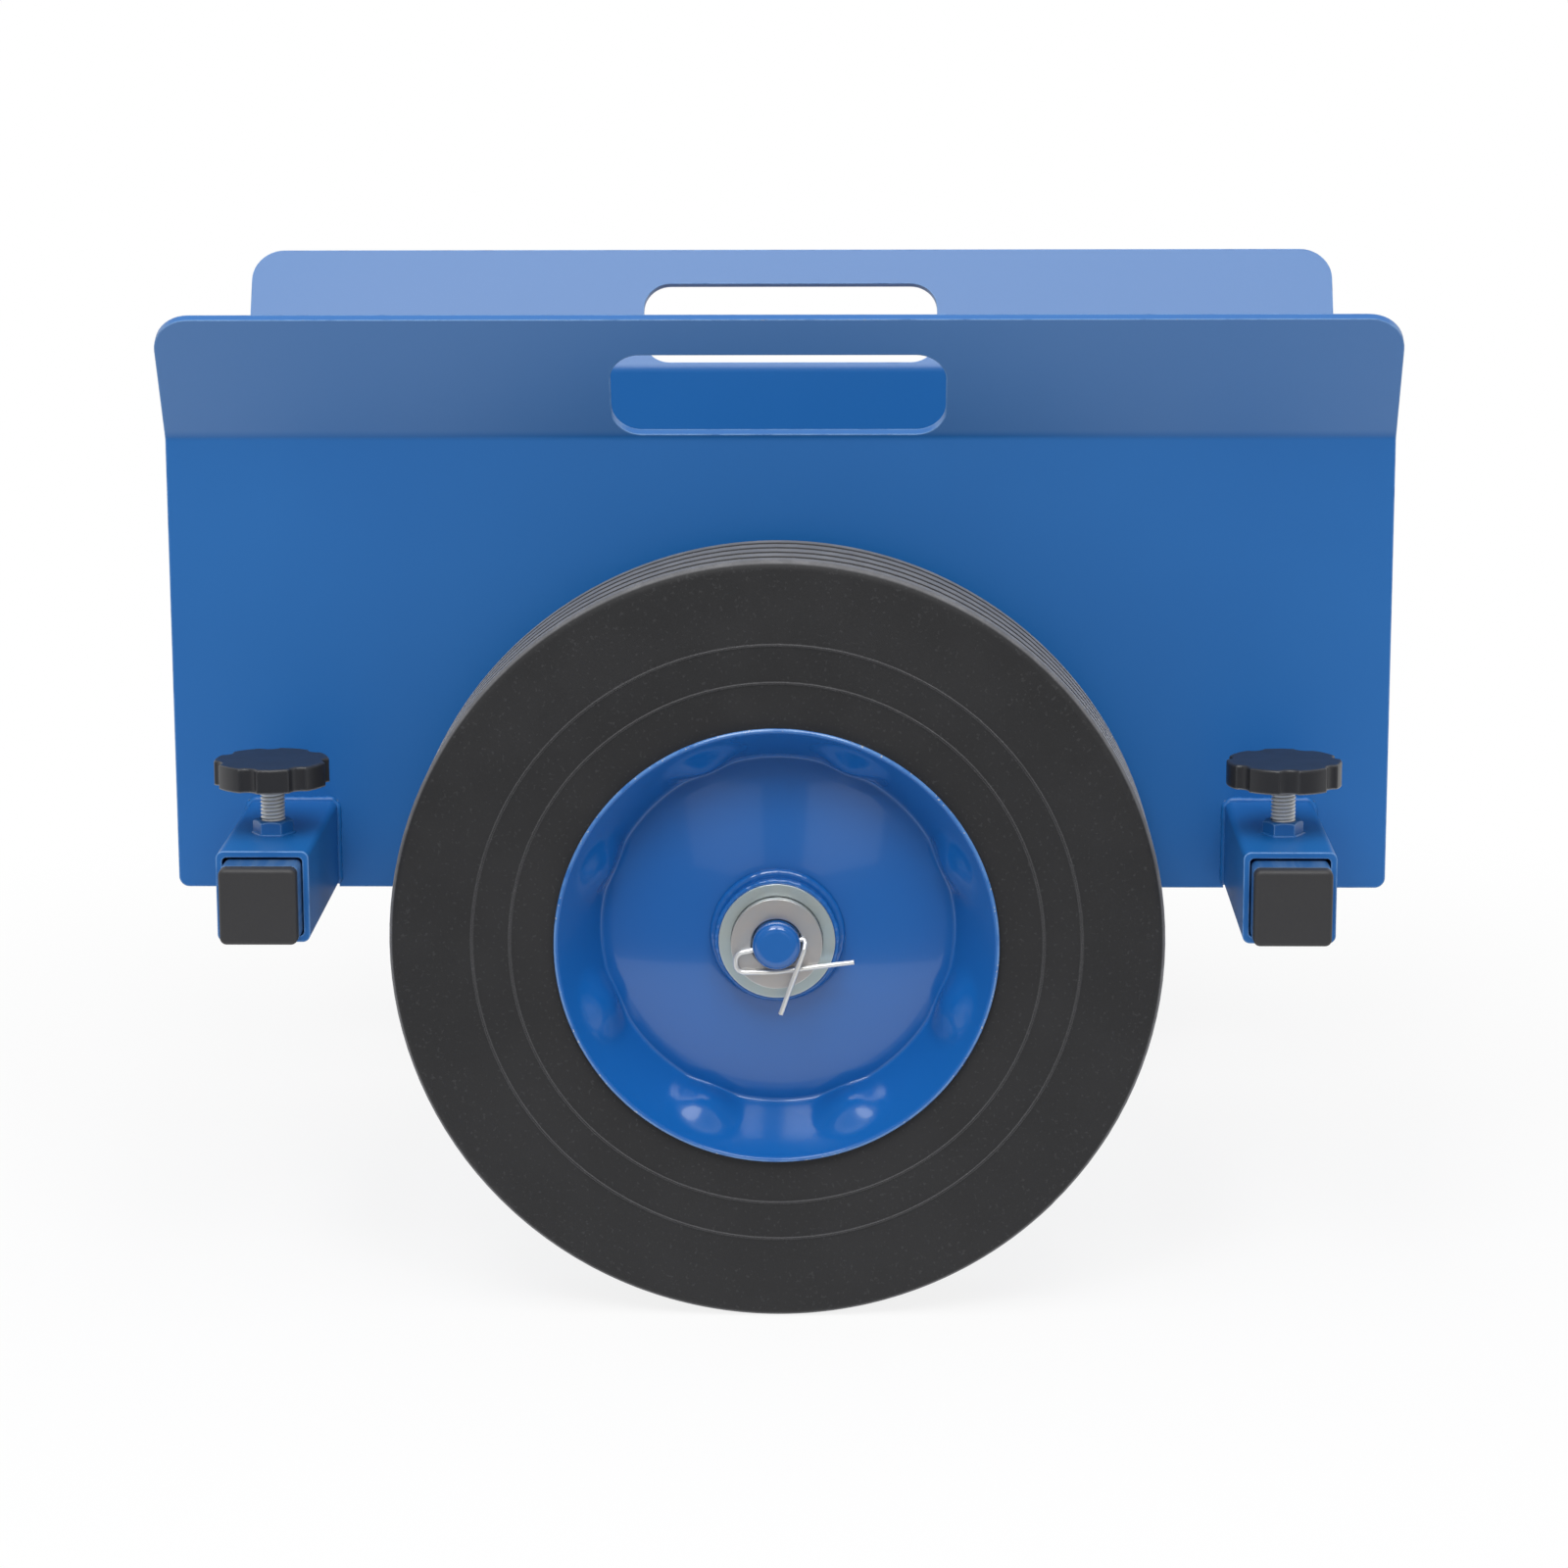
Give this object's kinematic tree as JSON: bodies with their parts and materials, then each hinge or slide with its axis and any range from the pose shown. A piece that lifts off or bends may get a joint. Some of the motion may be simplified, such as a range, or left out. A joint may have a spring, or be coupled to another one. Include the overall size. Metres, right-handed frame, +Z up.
{
  "type": "panel dolly",
  "caption": "Wheeled panel dolly: flared side panels stand apart on clamped slide tubes and carry a board on edge between them.",
  "frame": {"origin": "on the floor under the middle of the whole dolly's bounding box", "axes": "+X along the panels, to the right as seen from the clamp side; +Y from the front panel, which has the sleeves and clamps, to the rear panel; +Z up"},
  "size_m": [0.41, 0.3608, 0.3287],
  "materials": {
    "blue_paint": "glossy blue powder coat",
    "tyre_rubber": "matte dark grey",
    "zinc_plate": "satin zinc plating",
    "bright_steel": "bright drawn steel",
    "black_knob": "black moulded plastic",
    "grey_plastic": "dark grey moulded plastic"
  },
  "bodies": {
    "front_frame": {"front_panel": "blue_paint", "front_axle_plate": "blue_paint", "front_axle": "blue_paint", "front_axle_collar": "blue_paint", "front_axle_washer": "zinc_plate", "front_retaining_pin": "bright_steel", "front_outer_bearing_race": "zinc_plate", "front_inner_bearing_race": "zinc_plate", "left_sleeve": "blue_paint", "right_sleeve": "blue_paint", "left_clamp_nut": "blue_paint", "right_clamp_nut": "blue_paint"},
    "front_wheel": {"front_tyre": "tyre_rubber", "front_rim_outer_disc": "blue_paint", "front_rim_inner_disc": "blue_paint", "front_hub_tube": "blue_paint", "front_outer_bearing_shell": "zinc_plate", "front_inner_bearing_shell": "zinc_plate", "front_outer_bearing_balls": "bright_steel", "front_inner_bearing_balls": "bright_steel"},
    "rear_frame": {"rear_panel": "blue_paint", "rear_axle_plate": "blue_paint", "rear_axle": "blue_paint", "rear_axle_collar": "blue_paint", "rear_axle_washer": "zinc_plate", "rear_retaining_pin": "bright_steel", "rear_outer_bearing_race": "zinc_plate", "rear_inner_bearing_race": "zinc_plate", "left_slide_tube": "blue_paint", "right_slide_tube": "blue_paint", "left_tube_cap": "grey_plastic", "right_tube_cap": "grey_plastic"},
    "rear_wheel": {"rear_tyre": "tyre_rubber", "rear_rim_outer_disc": "blue_paint", "rear_rim_inner_disc": "blue_paint", "rear_hub_tube": "blue_paint", "rear_outer_bearing_shell": "zinc_plate", "rear_inner_bearing_shell": "zinc_plate", "rear_outer_bearing_balls": "bright_steel", "rear_inner_bearing_balls": "bright_steel"},
    "left_screw": {"left_clamp_screw": "zinc_plate"},
    "left_handle": {"left_knob": "black_knob"},
    "right_screw": {"right_clamp_screw": "zinc_plate"},
    "right_handle": {"right_knob": "black_knob"}
  },
  "joints": [
    {"name": "rear_slide", "type": "slide", "parent": "front_frame", "child": "rear_frame", "axis": [0, 1, 0], "range_m": [-0.19, 0.025]},
    {"name": "front_wheel_spin", "type": "hinge", "parent": "front_frame", "child": "front_wheel", "pos_m": [0, -0.1273, 0.127], "axis": [0, 1, 0], "continuous": true},
    {"name": "rear_wheel_spin", "type": "hinge", "parent": "rear_frame", "child": "rear_wheel", "pos_m": [0, 0.1534, 0.127], "axis": [0, 1, 0], "continuous": true},
    {"name": "left_screw_lift", "type": "slide", "parent": "front_frame", "child": "left_screw", "axis": [0, 0, 1], "range_m": [0, 0.00375]},
    {"name": "left_knob_turn", "type": "hinge", "parent": "left_screw", "child": "left_handle", "pos_m": [-0.1654, -0.1382, 0.18], "axis": [0, 0, 1], "range_deg": [0, 1081]},
    {"name": "right_screw_lift", "type": "slide", "parent": "front_frame", "child": "right_screw", "axis": [0, 0, 1], "range_m": [0, 0.00375]},
    {"name": "right_knob_turn", "type": "hinge", "parent": "right_screw", "child": "right_handle", "pos_m": [0.1654, -0.1382, 0.18], "axis": [0, 0, 1], "range_deg": [0, 1081]}
  ],
  "couplings": [
    {"joint": "left_knob_turn", "follows": "left_screw_lift", "rad_per_m": 5026.5},
    {"joint": "right_knob_turn", "follows": "right_screw_lift", "rad_per_m": 5026.5}
  ]
}
